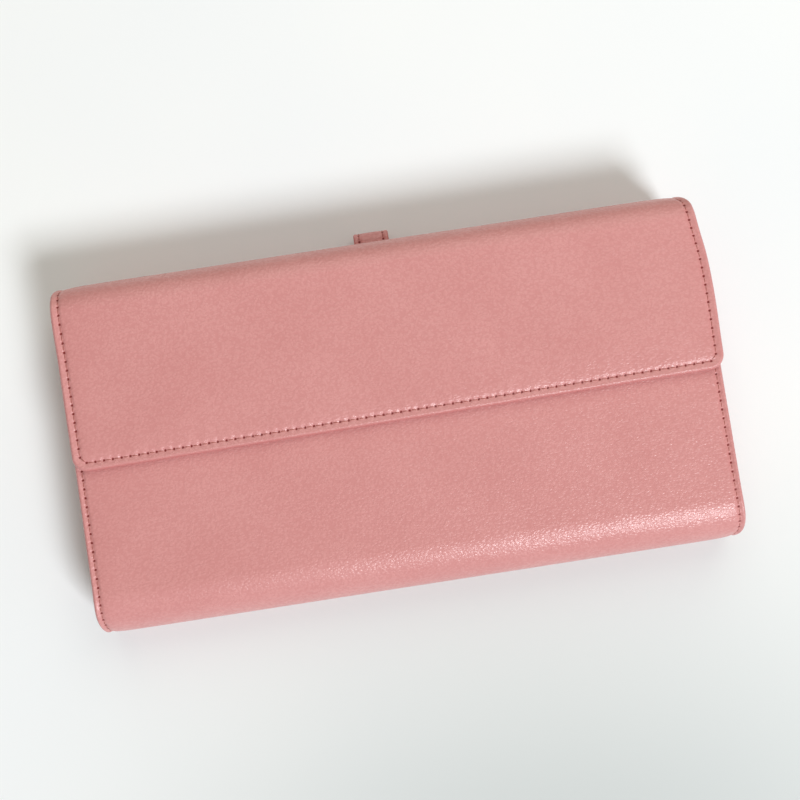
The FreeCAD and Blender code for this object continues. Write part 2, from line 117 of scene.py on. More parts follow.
PITCH = 2.55
FLAP_SEAM, BODY_SEAM = 2.45, 1.95
EDGE_ROUND = 0.9
EDGE_BROWN_AND_SHADE = 0.7
RELIEF_STARTS = 0.9
RIM_STEP = 0.12
TURNED_RIM, BODY_RIM = 1.6, 0.95
HOLE_RADIUS, HOLE_DEPTH = 0.52, 0.34
LINING_INSET = 1.7
GUSSET_HALF, GLUED_STRIP = 0.25, 3.0
STRAP_HALF = high("tab_strap_leather")[0]
CHANNEL_HALF = STRAP_HALF + 0.8
CHANNEL_DEPTH = 3.8
STRAP_END = low("tab_strap_leather")[1]
FLAP_SNAP_Y = (low("flap_snap_stud")[1] + high("flap_snap_stud")[1]) / 2
DIMPLE_RADIUS, DIMPLE_DEPTH = 5.6, 1.7


# ------------------------------------------------------------------ sheets


class Line:
    """A sheet's outer face seen from the side, in straight runs and bends. The outside is to
    the left of travel, and s is the length travelled."""

    def __init__(self, y, z, heading):
        self.at = (y, z, math.radians(heading))
        self.runs = []
        self.length = 0.0

    def go(self, length, degrees=0.0):
        """Goes on for a length while turning by degrees, positive to the left."""
        y, z, angle = self.at
        bend = math.radians(degrees) / length
        self.runs.append((self.length, y, z, angle, bend))
        y, z, end = self.point(y, z, angle, bend, length)
        self.at = (float(y), float(z), float(end))
        self.length += length
        return self

    @staticmethod
    def point(y, z, angle, bend, t):
        end = angle + bend * t
        if abs(bend) < 1e-9:
            return y + t * math.cos(angle), z + t * math.sin(angle), end
        return (
            y + (np.sin(end) - math.sin(angle)) / bend,
            z - (np.cos(end) - math.cos(angle)) / bend,
            end,
        )

    def at_length(self, s):
        """y, z and the outward normal's y and z at each length."""
        s = np.asarray(s, float)
        y, z, angle = np.zeros_like(s), np.zeros_like(s), np.zeros_like(s)
        for start, y0, z0, angle0, bend in self.runs:
            on = s >= start - 1e-9
            yy, zz, aa = self.point(y0, z0, angle0, bend, s - start)
            y, z, angle = np.where(on, yy, y), np.where(on, zz, z), np.where(on, aa, angle)
        return y, z, -np.sin(angle), np.cos(angle)


def bump(x, middle, width):
    return np.exp(-(((x - middle) / width) ** 2))


def smooth(t):
    t = np.clip(t, 0.0, 1.0)
    return t * t * (3 - 2 * t)


def by_side(x, pair):
    """The pair's left or right value, by which side of the middle x is on."""
    return np.where(x > 0, pair[1], pair[0])


def grid_lines(first, last, step, rims=(True, True), dense=(), fine=0.45):
    """Grid positions from first to last, closer together at a rim and in the dense ranges.
    fine is the step there: one for all of them, or one for each."""
    rim = [0, 0.06, 0.2, 0.42, 0.72, 1.05, 1.4, 1.8, 2.2, 2.5, 2.8, 3.1, 3.45, 3.9, 4.4, 5.0]
    head = [first + r for r in rim] if rims[0] else [first]
    tail = [last - r for r in reversed(rim)] if rims[1] else [last]
    marks = [(head[-1], step)]
    for k, (a, b) in enumerate(dense):
        marks += [(a, fine[k] if isinstance(fine, tuple) else fine), (b, step)]
    marks.append((tail[0], step))
    lines = list(head)
    for (a, size), (b, _) in zip(marks, marks[1:]):
        if b - a < 1e-6:
            continue
        count = max(1, round((b - a) / size))
        lines += list(np.linspace(a, b, count + 1)[1:])
    return np.array(lines + tail[1:])


def wander(x, s, seed, size, count=7, wavelength=(28, 70)):
    """A slow unevenness, as hand-cut leather has."""
    draw = np.random.default_rng(seed)
    total = np.zeros_like(np.asarray(x, float))
    for _ in range(count):
        direction = draw.uniform(0, math.pi)
        k = 2 * math.pi / draw.uniform(*wavelength)
        phase = draw.uniform(0, 2 * math.pi)
        total += np.sin(k * (x * math.cos(direction) + s * math.sin(direction)) + phase)
    return total * size / math.sqrt(count)


class Sheet:
    """A leather sheet along a line. Distances d are measured in from its outline."""

    def __init__(self, line, half, thickness, rim=None, rim_width=0.0, corners=(0.0, 0.0),
                 closed=(True, True), relief=None, under=None, width=None, warp=None):
        self.line, self.half, self.thickness = line, half, thickness
        self.rim, self.rim_width = rim or thickness, rim_width
        self.corners, self.closed = corners, closed
        self.relief, self.under = relief, under
        self.width, self.warp = width, warp
        self.holes = np.zeros((0, 2))

    def distances(self, x, s):
        """Distance in from the outline, and from the nearest side."""
        side = self.half - np.abs(x)
        d = side
        for end, corner, along in (
            (self.closed[0], self.corners[0], s),
            (self.closed[1], self.corners[1], self.line.length - s),
        ):
            if not end:
                continue
            d = np.minimum(d, along)
            if corner > 0:
                inside = (side < corner) & (along < corner)
                round_d = corner - np.hypot(corner - side, corner - along)
                d = np.where(inside, round_d, d)
        return np.maximum(d, 0.0), side

    def edge_drop(self, d):
        """How far an edge's rounding takes the faces from their full thickness."""
        r = self.rim / 2
        t = np.clip(1 - d / min(r, EDGE_ROUND), 0, 1)
        return r * (1 - np.sqrt(np.maximum(0.0, 1 - t * t)))

    def outer(self, x, s):
        d, side = self.distances(x, s)
        rise = self.relief(x, s, d, side) if self.relief else 0.0
        return rise * smooth(d / RELIEF_STARTS) - self.edge_drop(d)

    def inner(self, x, s):
        d, _ = self.distances(x, s)
        past_rim = smooth((d - self.rim_width) / RIM_STEP + 0.5)
        full = self.rim - (self.rim - self.thickness) * past_rim
        lower = self.under(x, s) if self.under else 0.0
        return lower * smooth(d / RELIEF_STARTS) - full + self.edge_drop(d)

    def place(self, x, s, h):
        """Points in the row's frame, in millimetres."""
        y, z, ny, nz = self.line.at_length(s)
        across = x if self.width is None else x * self.width(s, x) / self.half
        points = np.stack([across + 0 * s, y + ny * h, z + nz * h], axis=-1)
        return points if self.warp is None else self.warp(points)


def round_corners(sheet, x, s):
    """Moves the grid's square corners onto the sheet's round ones."""
    x, s = x.copy(), s.copy()
    for closed, corner, at_end in (
        (sheet.closed[0], sheet.corners[0], False),
        (sheet.closed[1], sheet.corners[1], True),
    ):
        if not closed or corner <= 0:
            continue
        along = sheet.line.length - s if at_end else s
        a = (np.abs(x) - (sheet.half - corner)) / corner
        b = (corner - along) / corner
        inside = (a > 0) & (b > 0)
        scale = np.where(inside, np.maximum(a, b) / np.maximum(np.hypot(a, b), 1e-9), 1.0)
        moved = sheet.half - corner + a * scale * corner
        x = np.where(inside, np.sign(x) * moved, x)
        along = np.where(inside, corner - b * scale * corner, along)
        s = np.where(inside, sheet.line.length - along if at_end else along, s)
    return x, s


def new_object(name, points, faces, smooth_shading=True):
    mesh = bpy.data.meshes.new(name)
    mesh.from_pydata((np.asarray(points) * MM).tolist(), [], faces)
    mesh.update()
    if smooth_shading:
        mesh.shade_smooth()
    obj = bpy.data.objects.new(name, mesh)
    bpy.context.scene.collection.objects.link(obj)
    return obj


def add_sheet_uv(mesh, flat):
    """Each vertex's place on its unrolled leather, in metres, for the grain."""
    uv = mesh.uv_layers.new(name="sheet")
    corner_vertex = np.zeros(len(mesh.loops), int)
    mesh.loops.foreach_get("vertex_index", corner_vertex)
    uv.data.foreach_set("uv", (flat * MM)[corner_vertex].astype(np.float32).ravel())


def build_sheet(name, sheet, x_lines, s_lines, material, shade=None):
    """The sheet's mesh: both faces, closed round its edges, with a flat cut at an open end.
    Its colour marks are needle holes darkened with painted shade in red, browned edges with painted
    shade along the rounded rim in green and painted shade in blue."""
    x, s = np.meshgrid(x_lines, s_lines, indexing="ij")
    rows, columns = x.shape
    x, s = round_corners(sheet, x, s)
    for hx, hs in sheet.holes:
        i, j = np.unravel_index(np.argmin((x - hx) ** 2 + (s - hs) ** 2), x.shape)
        x[i, j], s[i, j] = hx, hs
    hole = np.zeros(x.shape)
    for hx, hs in sheet.holes:
        hole = np.maximum(hole, np.exp(-((x - hx) ** 2 + (s - hs) ** 2) / HOLE_RADIUS**2))
    top = sheet.outer(x, s) - HOLE_DEPTH * hole
    bottom = sheet.inner(x, s)
    points = np.concatenate([
        sheet.place(x, s, top).reshape(-1, 3),
        sheet.place(x, s, bottom).reshape(-1, 3),
    ])

    upper = np.arange(rows * columns).reshape(rows, columns)
    lower = upper + rows * columns
    shared = np.zeros(x.shape, bool)
    shared[0, :] = shared[-1, :] = True
    shared[:, 0] |= sheet.closed[0]
    shared[:, -1] |= sheet.closed[1]
    lower = np.where(shared, upper, lower)

    def quads(grid, flip):
        a, b, c, d = grid[:-1, :-1], grid[1:, :-1], grid[1:, 1:], grid[:-1, 1:]
        ring = (a, d, c, b) if flip else (a, b, c, d)
        return np.stack([r.ravel() for r in ring], axis=1).tolist()

    faces = quads(upper, False) + quads(lower, True)
    for closed, j, flip in ((sheet.closed[0], 0, True), (sheet.closed[1], columns - 1, False)):
        if closed:
            continue
        for i in range(rows - 1):
            ring = [upper[i, j], upper[i + 1, j], lower[i + 1, j], lower[i, j]]
            ring = list(dict.fromkeys(int(v) for v in ring))
            faces.append(ring if flip else ring[::-1])

    used = np.unique(np.concatenate([upper.ravel(), lower.ravel()]))
    index = np.full(len(points), -1)
    index[used] = np.arange(len(used))
    faces = [[int(index[v]) for v in f] for f in faces]
    obj = new_object(name, points[used], faces)

    sheet_x = np.concatenate([x.ravel(), x.ravel()])[used]
    sheet_s = np.concatenate([s.ravel(), s.ravel()])[used]
    mesh = obj.data
    d, side = sheet.distances(x, s)
    at_side = side <= d + 1e-6
    out_x = np.where(at_side, np.sign(x), 0.0)
    out_s = np.where(at_side, 0.0, np.where(s < sheet.line.length / 2, -1.0, 1.0))
    drop = sheet.edge_drop(d)
    unrolled = [
        np.stack([x + out_x * depth, s + out_s * depth], axis=-1).reshape(-1, 2)
        for depth in (drop, sheet.rim - drop)
    ]
    add_sheet_uv(mesh, np.concatenate(unrolled)[used])

    d, _ = sheet.distances(sheet_x, sheet_s)
    marks = np.zeros((len(used), 4), np.float32)
    # red: painted shade in the needle holes
    marks[:, 0] = np.concatenate([hole.ravel(), 0 * hole.ravel()])[used]
    # green: the browned cut edge, with painted shade along the rounded rim
    marks[:, 1] = smooth(1 - d / EDGE_BROWN_AND_SHADE)
    # blue: painted shade, where given
    marks[:, 2] = shade(sheet_x, sheet_s) if shade else 0.0
    marks[:, 3] = 1.0
    layer = mesh.attributes.new("marks", "FLOAT_COLOR", "POINT")
    layer.data.foreach_set("color", marks.ravel())
    mesh.materials.append(material)
    return obj


# ------------------------------------------------------------------ stitches


def spaced(points, pitch=PITCH, start=0.0):
    """Points a pitch apart along a line of close points."""
    points = np.asarray(points, float)
    steps = np.hypot(*np.diff(points, axis=0).T)
    length = np.concatenate([[0], np.cumsum(steps)])
    count = int((length[-1] - start) / pitch)
    at = start + np.arange(count + 1) * (length[-1] - start) / count
    return np.stack([np.interp(at, length, points[:, k]) for k in (0, 1)], axis=1)


def side_row(sheet, side, inset, first, last):
    """Needle holes down one side of a sheet."""
    x = side * (sheet.half - inset)
    return spaced([(x, s) for s in np.linspace(first, last, 200)])


def tongue_row(half, inset, corner, last):
    """Needle holes down one side, round the free end and up the other side."""
    r = corner
    x = half - inset
    left = [(-x, s) for s in np.linspace(last, inset + r, 120)]
    turn = np.linspace(0, QUARTER, 24)
    first = [(-x + r - r * math.cos(a), inset + r - r * math.sin(a)) for a in turn]
    end = [(v, inset) for v in np.linspace(-x + r, x - r, 300)]
    second = [(x - r + r * math.sin(a), inset + r - r * math.cos(a)) for a in turn]
    right = [(x, s) for s in np.linspace(inset + r, last, 120)]
    return spaced(left + first[1:] + end[1:] + second[1:] + right[1:])


def build_stitches(name, sheet, rows, material, radius=0.15, slant=0.06):
    """A short slanting run of thread from each needle hole to the next, sunk at its ends."""
    rings, sides = 7, 8
    t = np.linspace(0, 1, rings)
    along_stitch = 0.14 + 0.72 * t
    lift = -HOLE_DEPTH + 0.36 * np.sin(math.pi * t) ** 0.7
    thick = radius * (0.72 + 0.28 * np.sin(math.pi * t))
    points, faces, count = [], [], 0
    for holes in rows:
        for a, b in zip(holes, holes[1:]):
            along = (b - a) / np.linalg.norm(b - a)
            across = np.array([-along[1], along[0]])
            line = a + np.outer(along_stitch, b - a) + np.outer((0.5 - t) * 2 * slant, across)
            base = sheet.outer(line[:, 0], line[:, 1])
            centre = sheet.place(line[:, 0], line[:, 1], base + lift)
            raised = sheet.place(line[:, 0], line[:, 1], base + lift + 1.0)
            normal = raised - centre
            tangent = np.gradient(centre, axis=0)
            side = np.cross(tangent, normal)
            side /= np.linalg.norm(side, axis=1, keepdims=True)
            for k in range(rings):
                for m in range(sides):
                    angle = 2 * math.pi * m / sides
                    points.append(
                        centre[k]
                        + thick[k] * (math.cos(angle) * side[k] + math.sin(angle) * normal[k])
                    )
            for k in range(rings - 1):
                for m in range(sides):
                    n = (m + 1) % sides
                    p, q = count + k * sides, count + (k + 1) * sides
                    faces.append([p + m, q + m, q + n, p + n])
            last = count + (rings - 1) * sides
            faces.append([count + m for m in range(sides)])
            faces.append([last + m for m in reversed(range(sides))])
            count += rings * sides
    obj = new_object(name, points, faces)
    obj.data.materials.append(material)
    return obj


# ------------------------------------------------------------------ materials


class Graph:
    """A small helper to make shader nodes and link them."""

    def __init__(self, name):
        self.material = bpy.data.materials.new(name)
        self.material.use_nodes = True
        self.tree = self.material.node_tree
        self.tree.nodes.clear()
        self.output = self.tree.nodes.new("ShaderNodeOutputMaterial")
        self.shader = self.add("ShaderNodeBsdfPrincipled")
        self.link(self.shader.outputs[0], self.output.inputs["Surface"])

    def add(self, kind, values=None, **settings):
        node = self.tree.nodes.new(kind)
        for key, value in settings.items():
            setattr(node, key, value)
        for key, value in (values or {}).items():
            self.feed(node.inputs[key], value)
        return node

    def link(self, source, target):
        self.tree.links.new(source, target)

    def feed(self, socket, value):
        if isinstance(value, bpy.types.NodeSocket):
            self.link(value, socket)
        else:
            socket.default_value = value

    def math(self, operation, *values):
        node = self.add("ShaderNodeMath", operation=operation)
        for socket, value in zip(node.inputs, values):
            self.feed(socket, value)
        return node.outputs[0]

    def ramp(self, value, low_in, high_in, low_out=0.0, high_out=1.0):
        node = self.add("ShaderNodeMapRange", interpolation_type="SMOOTHSTEP")
        for key, v in zip(range(5), (value, low_in, high_in, low_out, high_out)):
            self.feed(node.inputs[key], v)
        return node.outputs[0]

    def mix(self, factor, a, b, blend="MIX"):
        node = self.add("ShaderNodeMix", data_type="RGBA", blend_type=blend)
        self.feed(node.inputs[0], factor)
        self.feed(node.inputs[6], a)
        self.feed(node.inputs[7], b)
        return node.outputs[2]

    def noise(self, vector, scale, detail=3.0, roughness=0.5):
        values = {"Vector": vector, "Scale": scale, "Detail": detail, "Roughness": roughness}
        return self.add("ShaderNodeTexNoise", values).outputs["Fac"]


def rgb(r, g, b):
    """A colour given as screen values from 0 to 255."""
    def linear(v):
        v /= 255
        return v / 12.92 if v <= 0.04045 else ((v + 0.055) / 1.055) ** 2.4

    return (linear(r), linear(g), linear(b), 1.0)


def stretched(graph, vector, x, y, turn=0.0):
    node = graph.add("ShaderNodeMapping", {"Vector": vector})
    node.inputs["Scale"].default_value = (x, y, 1.0)
    node.inputs["Rotation"].default_value = (0.0, 0.0, math.radians(turn))
    return node.outputs[0]


def leather(name, colour, deep, pale, roughness, grain_height, grain=1.0, gloss=0.42):
    """Fine-grained dyed leather: small flattened pebbles in slanting rows, pores, a slow change of
    colour, darker creases, needle holes darkened with painted shade, a browned cut edge with painted
    shade along its rounded rim, and a warm painted shade where the blue mark is set."""
    g = Graph(name)
    sheet = g.add("ShaderNodeUVMap", uv_map="sheet").outputs["UV"]
    marks = g.add("ShaderNodeAttribute", attribute_name="marks").outputs["Color"]
    parts = g.add("ShaderNodeSeparateColor", {"Color": marks})

    warped = g.add("ShaderNodeVectorMath", operation="MULTIPLY_ADD")
    wobble = g.add("ShaderNodeTexNoise", {"Vector": sheet, "Scale": 260.0, "Detail": 1.0})
    g.feed(warped.inputs[0], wobble.outputs["Color"])
    warped.inputs[1].default_value = (0.0006, 0.0006, 0.0)
    g.feed(warped.inputs[2], sheet)
    cells = []
    for x, y, turn in ((980.0, 1560.0, 14.0), (1060.0, 1440.0, -24.0)):
        vector = stretched(g, warped.outputs[0], x * grain, y * grain, turn)
        cell = g.add("ShaderNodeTexVoronoi", feature="F1", distance="EUCLIDEAN")
        g.feed(cell.inputs["Vector"], vector)
        cell.inputs["Scale"].default_value = 1.0
        cell.inputs["Randomness"].default_value = 0.80
        cells.append(cell.outputs["Distance"])
    crease = g.math("MAXIMUM", cells[0], g.math("MULTIPLY", cells[1], 0.86))
    pebble = g.ramp(crease, 0.25, 0.80, 1.0, 0.0)
    pores = g.noise(sheet, 5200.0 * grain, 2.0, 0.6)
    slow = g.noise(sheet, 42.0, 3.0, 0.55)
    patch = g.noise(sheet, 190.0, 2.0, 0.5)
    height = g.math("ADD", g.math("MULTIPLY", pebble, g.ramp(patch, 0.3, 0.7, 0.9, 1.0)),
                    g.math("MULTIPLY", pores, 0.30))

    body = g.mix(g.ramp(slow, 0.36, 0.64), colour, pale)
    body = g.mix(g.ramp(pebble, 0.0, 0.7, 0.30, 0.0), body, deep)
    # painted shade: the blue mark tints the top roll brown where it turns away from the light
    body = g.mix(g.math("MULTIPLY", parts.outputs[2], 0.12), body, rgb(196, 130, 108))
    # the green mark: a browned cut edge, also painted shade along the rounded rim
    body = g.mix(g.math("MULTIPLY", parts.outputs[1], 0.50), body, rgb(190, 98, 96))
    # painted shade: the red mark darkens the needle holes
    body = g.mix(g.ramp(parts.outputs[0], 0.36, 0.76), body, rgb(120, 22, 16))
    g.feed(g.shader.inputs["Base Color"], body)
    smoother = g.ramp(pebble, 0.0, 1.0, roughness + 0.16, roughness)
    uneven = g.ramp(patch, 0.2, 0.8, -0.02, 0.03)
    rougher = g.math("MULTIPLY_ADD", parts.outputs[0], 0.4, uneven)
    g.feed(g.shader.inputs["Roughness"], g.math("ADD", smoother, rougher))
    g.shader.inputs["Specular IOR Level"].default_value = gloss
    g.shader.inputs["Coat Weight"].default_value = 0.30
    g.shader.inputs["Coat Roughness"].default_value = 0.18
    surface = g.add("ShaderNodeBump", {"Height": height})
    surface.inputs["Strength"].default_value = 1.0
    surface.inputs["Distance"].default_value = grain_height * MM
    g.link(surface.outputs[0], g.shader.inputs["Normal"])
    g.link(surface.outputs[0], g.shader.inputs["Coat Normal"])
    return g.material


def thread_material(name, colour, dark):
    """Waxed thread: two plies twisted round each other."""
    g = Graph(name)
    place = g.add("ShaderNodeTexCoord").outputs["Object"]
    fibre = g.noise(place, 9000.0, 2.0)
    g.feed(g.shader.inputs["Base Color"], g.mix(g.ramp(fibre, 0.3, 0.7), colour, dark))
    g.shader.inputs["Roughness"].default_value = 0.55
    twist = g.add("ShaderNodeTexWave", {"Vector": place, "Scale": 900.0, "Distortion": 1.5})
    twist.bands_direction = "DIAGONAL"
    surface = g.add("ShaderNodeBump", {"Height": twist.outputs["Fac"]})
    surface.inputs["Distance"].default_value = 0.00004
    g.link(surface.outputs[0], g.shader.inputs["Normal"])
    return g.material


def board_material():
    """Grey-brown pulp board."""
    g = Graph("pulp_board")
    place = g.add("ShaderNodeTexCoord").outputs["Object"]
    fibre = g.noise(stretched(g, place, 1.0, 2.5), 700.0, 4.0)
    colour = g.mix(g.ramp(fibre, 0.3, 0.7), rgb(176, 158, 132), rgb(150, 131, 105))
    g.feed(g.shader.inputs["Base Color"], colour)
    g.shader.inputs["Roughness"].default_value = 0.85
    surface = g.add("ShaderNodeBump", {"Height": fibre})
    surface.inputs["Distance"].default_value = 0.00005
    g.link(surface.outputs[0], g.shader.inputs["Normal"])
    return g.material


def snap_material():
    """Pale gold plating with small scuffs."""
    g = Graph("snap_plating")
    place = g.add("ShaderNodeTexCoord").outputs["Object"]
    scuff = g.noise(place, 1600.0, 4.0, 0.6)
    g.feed(g.shader.inputs["Base Color"],
           g.mix(g.ramp(scuff, 0.45, 0.75), rgb(222, 196, 142), rgb(196, 164, 108)))
    g.shader.inputs["Metallic"].default_value = 1.0
    g.feed(g.shader.inputs["Roughness"], g.ramp(scuff, 0.3, 0.8, 0.20, 0.38))
    surface = g.add("ShaderNodeBump", {"Height": scuff})
    surface.inputs["Distance"].default_value = 0.00001
    g.link(surface.outputs[0], g.shader.inputs["Normal"])
    return g.material


outer_leather = leather(
    "outer_leather", colour=rgb(211, 143, 140), deep=rgb(191, 117, 115),
    pale=rgb(214, 147, 144), roughness=0.30, grain_height=0.066,
)
lining_leather = leather(
    "lining_leather", colour=rgb(226, 164, 156), deep=rgb(208, 142, 134),
    pale=rgb(230, 170, 162), roughness=0.52, grain_height=0.03, grain=1.5, gloss=0.3,
)
gusset_leather = leather(
    "gusset_leather", colour=rgb(212, 146, 140), deep=rgb(190, 122, 116),
    pale=rgb(216, 152, 146), roughness=0.55, grain_height=0.03, grain=1.4, gloss=0.3,
)
pink_thread = thread_material("pink_thread", rgb(184, 108, 98), rgb(146, 76, 66))
pulp_board = board_material()
snap_plating = snap_material()


# ------------------------------------------------------------------ reliefs


LIP_HEIGHT, CREASE_DEPTH, GROOVE_DEPTH = 0.12, 0.10, 0.24
PUFF, PUFF_REACH = 0.40, 2.6
PUCKER, GATHER, GATHER_LENGTH = 0.032, 0.05, 7.3
HAND_CUT = 0.07


def seam_relief(x, s, d, side, inset=FLAP_SEAM, seed=1, from_roll=99.0):
    """Lip, stitched groove, puckers between the stitches and a slight puff inside them. The
    unevenness dies out toward a roll's middle, so that the sheets that meet there agree."""
    lip = LIP_HEIGHT * bump(d, inset * 0.36, 0.30) - CREASE_DEPTH * bump(d, inset * 0.60, 0.20)
    groove = -GROOVE_DEPTH * bump(d, inset, 0.50)
    inside = np.maximum(d - inset, 0.0)
    rise = PUFF * (1 - np.exp(-inside / PUFF_REACH))
    along = np.where(side <= d + 1e-6, s, x)
    pucker = -PUCKER * np.cos(2 * math.pi * along / PITCH) * bump(inside, 0.9, 1.1)
    gather = GATHER * np.sin(2 * math.pi * along / GATHER_LENGTH + 1.7 * np.sin(along / 9.0))
    gather = gather * np.exp(-inside / 4.5) * smooth(inside / 1.2)
    uneven = np.where(d > inset, pucker + gather, 0.0)
    uneven = uneven + wander(x, s, seed, HAND_CUT) * smooth(inside / 8)
    return lip + groove + rise + uneven * smooth(from_roll / 6)


def side_relief(x, s, d, side, **options):
    """As seam_relief, for a sheet that is stitched only down its two sides."""
    return seam_relief(x, s, side, side, **options)


def channel(x, y, grown=0.0):
    """How deep the strap's channel is pressed in at a place, 0 outside it. Grown is how much
    wider it is on the far side of the leather."""
    across = smooth((CHANNEL_HALF + 0.55 + grown - np.abs(x)) / 0.9)
    along = smooth((y - (STRAP_END - 0.8 - 0.55 - grown)) / 0.9)
    return CHANNEL_DEPTH * across * along


def dimple(x, y, grown=0.0):
    """How deep the flap snap's dimple is pressed in at a place."""
    r = np.hypot(x, y - FLAP_SNAP_Y)
    return DIMPLE_DEPTH * smooth((DIMPLE_RADIUS + 0.7 + grown - r) / 1.3)


# ------------------------------------------------------------------ flap and top roll


HALF_STRIP = (HIGH_BEND_Z - LOW_BEND_Z) / 2
FLAP_TURN, FLAP_SHIFT = math.radians(0.55), 0.30
CORNER_EASE, CORNER_CUT = 0.08, 0.95
TOP_CORNERS, BOTTOM_CORNERS = (2.0, 3.6), (0.7, 1.9)
TOP_TAPER, FLAP_SLIMMER = (0.35, 1.75), (0.0, 0.6)


def flap_skew(points):
    """The flap lies a little turned and shifted on the body, from the top roll down."""
    reach = np.maximum(BEND_Y - points[..., 1], 0.0)
    share = smooth(reach / 14.0)
    x, y, z = points[..., 0], points[..., 1], points[..., 2]
    moved_x = x + share * (FLAP_SHIFT + math.sin(FLAP_TURN) * (BEND_Y - y))
    moved_y = y + share * math.sin(FLAP_TURN) * x
    return np.stack([moved_x, moved_y, z], axis=-1)


flap_line = Line(FLAP_EDGE, FLAP_TOP, 0)
flap_line.go(BEND_Y - FLAP_EDGE).go(BEND * QUARTER, -90).go(HALF_STRIP)
back_line = Line(TOP, (LOW_BEND_Z + HIGH_BEND_Z) / 2, -90)
back_line.go(HALF_STRIP).go(BEND * QUARTER, -90).go(BEND_Y - CORE_FOOT)


def rounded_end(distance, radius):
    """How far a corner of this radius is cut in, at a distance from the end."""
    t = np.clip(1 - np.hypot(distance, CORNER_EASE) / radius, 0, 1)
    return radius * (1 - np.sqrt(1 - t * t))


def top_width(y, x):
    """Half width at the top roll, which is cut in round each corner, more so on the right."""
    return FLAP_HALF - rounded_end(TOP - y, by_side(x, TOP_CORNERS)) * CORNER_CUT


def taper(from_middle, x):
    """How much slimmer the leather gets as it goes over the top roll, mostly on the right."""
    return by_side(x, TOP_TAPER) * bump(from_middle, 4.0, 18.0)


def flap_width(s, x):
    """Half width of the flap: it narrows as it turns over the top roll, and a little by its
    free edge."""
    from_middle = flap_line.length - s
    y = flap_line.at_length(s)[0]
    slimmer = by_side(x, FLAP_SLIMMER) * smooth(1 - s / 26)
    return top_width(y, x) - taper(from_middle, x) - slimmer


def back_width(s, x):
    """Half width from the top roll down the middle wall, where it slims to the body's."""
    y = back_line.at_length(s)[0]
    slimmer = (FLAP_HALF - BODY_HALF) * smooth((s - 6.0) / 8.0)
    return top_width(np.where(s < 10, y, 0.0), x) - taper(s, x) - slimmer


flap_sheet = Sheet(
    flap_line, FLAP_HALF, LEATHER, rim=FLAP_TOP - FLAP_LOW, rim_width=TURNED_RIM, corners=(4.5, 0),
    closed=(True, False), relief=lambda x, s, d, side: seam_relief(
        x, s, d, side, seed=3, from_roll=flap_line.length - s),
    width=flap_width, warp=flap_skew,
)
flap_row = tongue_row(FLAP_HALF, FLAP_SEAM, 2.3, flap_line.length)
flap_sheet.holes = flap_row
back_sheet = Sheet(
    back_line, FLAP_HALF, LEATHER, rim=FLAP_TOP - FLAP_LOW, rim_width=BODY_RIM,
    closed=(False, True),
    relief=lambda x, s, d, side: side_relief(x, s, d, side, seed=4, from_roll=s),
    width=back_width,
)
back_rows = [side_row(back_sheet, k, FLAP_SEAM, 0.0, back_line.length - 3) for k in (-1, 1)]
back_sheet.holes = np.concatenate(back_rows)

PAST_BEND = 0.6
UPPER_BLEND = ("spine", "flap", (0, TOP * MM, (HIGH_BEND_Z + PAST_BEND) * MM),
               (0, (BEND_Y - PAST_BEND) * MM, FLAP_TOP * MM))
LOWER_BLEND = ("core", "spine", (0, (BEND_Y - PAST_BEND) * MM, CORE_LOW * MM),
               (0, TOP * MM, (LOW_BEND_Z - PAST_BEND) * MM))


def top_roll_shade(from_middle):
    """Painted shade on the top roll, which turns away from the light: a brown tint from its middle,
    fading out past it.
    """
    return smooth(1 - (from_middle - 8.0) / 7.0)


flap_piece = build_sheet(
    "flap_outer", flap_sheet,
    grid_lines(-FLAP_HALF, FLAP_HALF, 0.45),
    grid_lines(0, flap_line.length, 0.45, rims=(True, False),
               dense=((flap_line.length - 1.0, flap_line.length),), fine=0.1),
    outer_leather, lambda x, s: top_roll_shade(flap_line.length - s),
)
back_piece = build_sheet(
    "back_outer", back_sheet,
    grid_lines(-FLAP_HALF, FLAP_HALF, 1.3),
    grid_lines(0, back_line.length, 1.6, rims=(False, True), dense=((0, 1), (1, 27)),
               fine=(0.1, 0.5)),
    outer_leather, lambda x, s: top_roll_shade(s),
)
flap_stitches = build_stitches("flap_stitches", flap_sheet, [flap_row], pink_thread)
back_stitches = build_stitches("back_stitches", back_sheet, back_rows, pink_thread)
for piece, body_blend in (
    (flap_piece, UPPER_BLEND), (flap_stitches, UPPER_BLEND),
    (back_piece, LOWER_BLEND), (back_stitches, LOWER_BLEND),
):
    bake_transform(piece)
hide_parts("flap_leather")
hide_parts("core_leather", "spine_leather")


# ------------------------------------------------------------------ front wall and rear wall


front_line = Line(BOTTOM, ROLL, 90)
front_line.go(ROLL * QUARTER, -90).go(FRONT_EDGE - ROLL_Y)
rear_line = Line(REAR_MOUTH, 0, 180)
rear_line.go(REAR_MOUTH - ROLL_Y).go(ROLL * QUARTER, -90)


def wrap_width(from_fold, x):
    """Half width of the wrap: cut in round the bottom roll's corners, widest just past them."""
    in_bend = np.minimum(from_fold, ROLL * QUARTER)
    from_bottom = ROLL * (1 - np.cos(in_bend / ROLL))
    flare = 0.45 * bump(from_fold, 10.0, 6.0)
    return BODY_HALF - CORNER_CUT * rounded_end(from_bottom, by_side(x, BOTTOM_CORNERS)) + flare


def front_relief(x, s, d, side):
    y = front_line.at_length(s)[0]
    rise = side_relief(x, s, d, side, inset=BODY_SEAM, seed=5, from_roll=s)
    return rise * (1 - dimple(x, y) / DIMPLE_DEPTH) - dimple(x, y)


def rear_relief(x, s, d, side):
    """The face that the wallet lies on is pressed flat, and only the roll puffs out."""
    y = rear_line.at_length(s)[0]
    from_roll = rear_line.length - s
    rise = side_relief(x, s, d, side, inset=BODY_SEAM, seed=6, from_roll=from_roll)
    flat = smooth((from_roll - 3.0) / (ROLL * QUARTER - 3.0))
    rise = np.where(rise > 0, rise * (1 - flat), rise)
    return rise * (1 - channel(x, y) / CHANNEL_DEPTH) - channel(x, y)


